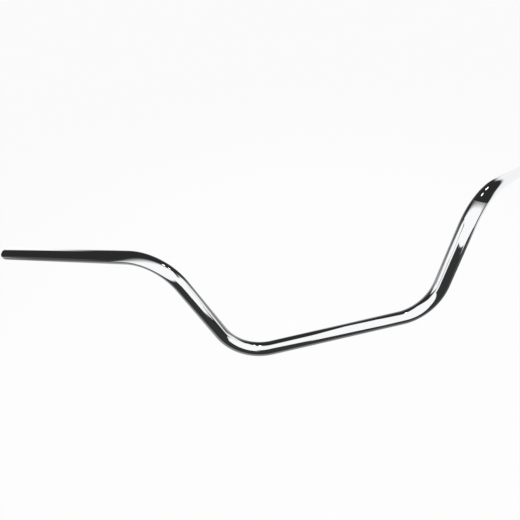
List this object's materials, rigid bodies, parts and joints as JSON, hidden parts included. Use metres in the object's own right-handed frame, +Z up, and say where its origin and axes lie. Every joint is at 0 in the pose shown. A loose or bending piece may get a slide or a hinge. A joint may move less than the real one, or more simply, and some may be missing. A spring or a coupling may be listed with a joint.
{
  "type": "motorcycle handlebar",
  "caption": "Chrome-plated tubular motorcycle handlebar: straight centre clamped to the fork, uprights bent up on each side and straight open ends swept back for the grips.",
  "frame": {"origin": "middle of the straight centre stretch, on the tube's axis, where the clamps hold it", "axes": "+X along the centre stretch towards the rider's left hand, +Y back towards the rider, +Z up"},
  "size_m": [1.1522, 0.2172, 0.2095],
  "materials": {
    "plated_steel": "bright chrome plating polished to a mirror, bare grey steel inside the open ends"
  },
  "bodies": {
    "root": {"handlebar": "plated_steel"}
  },
  "joints": []
}
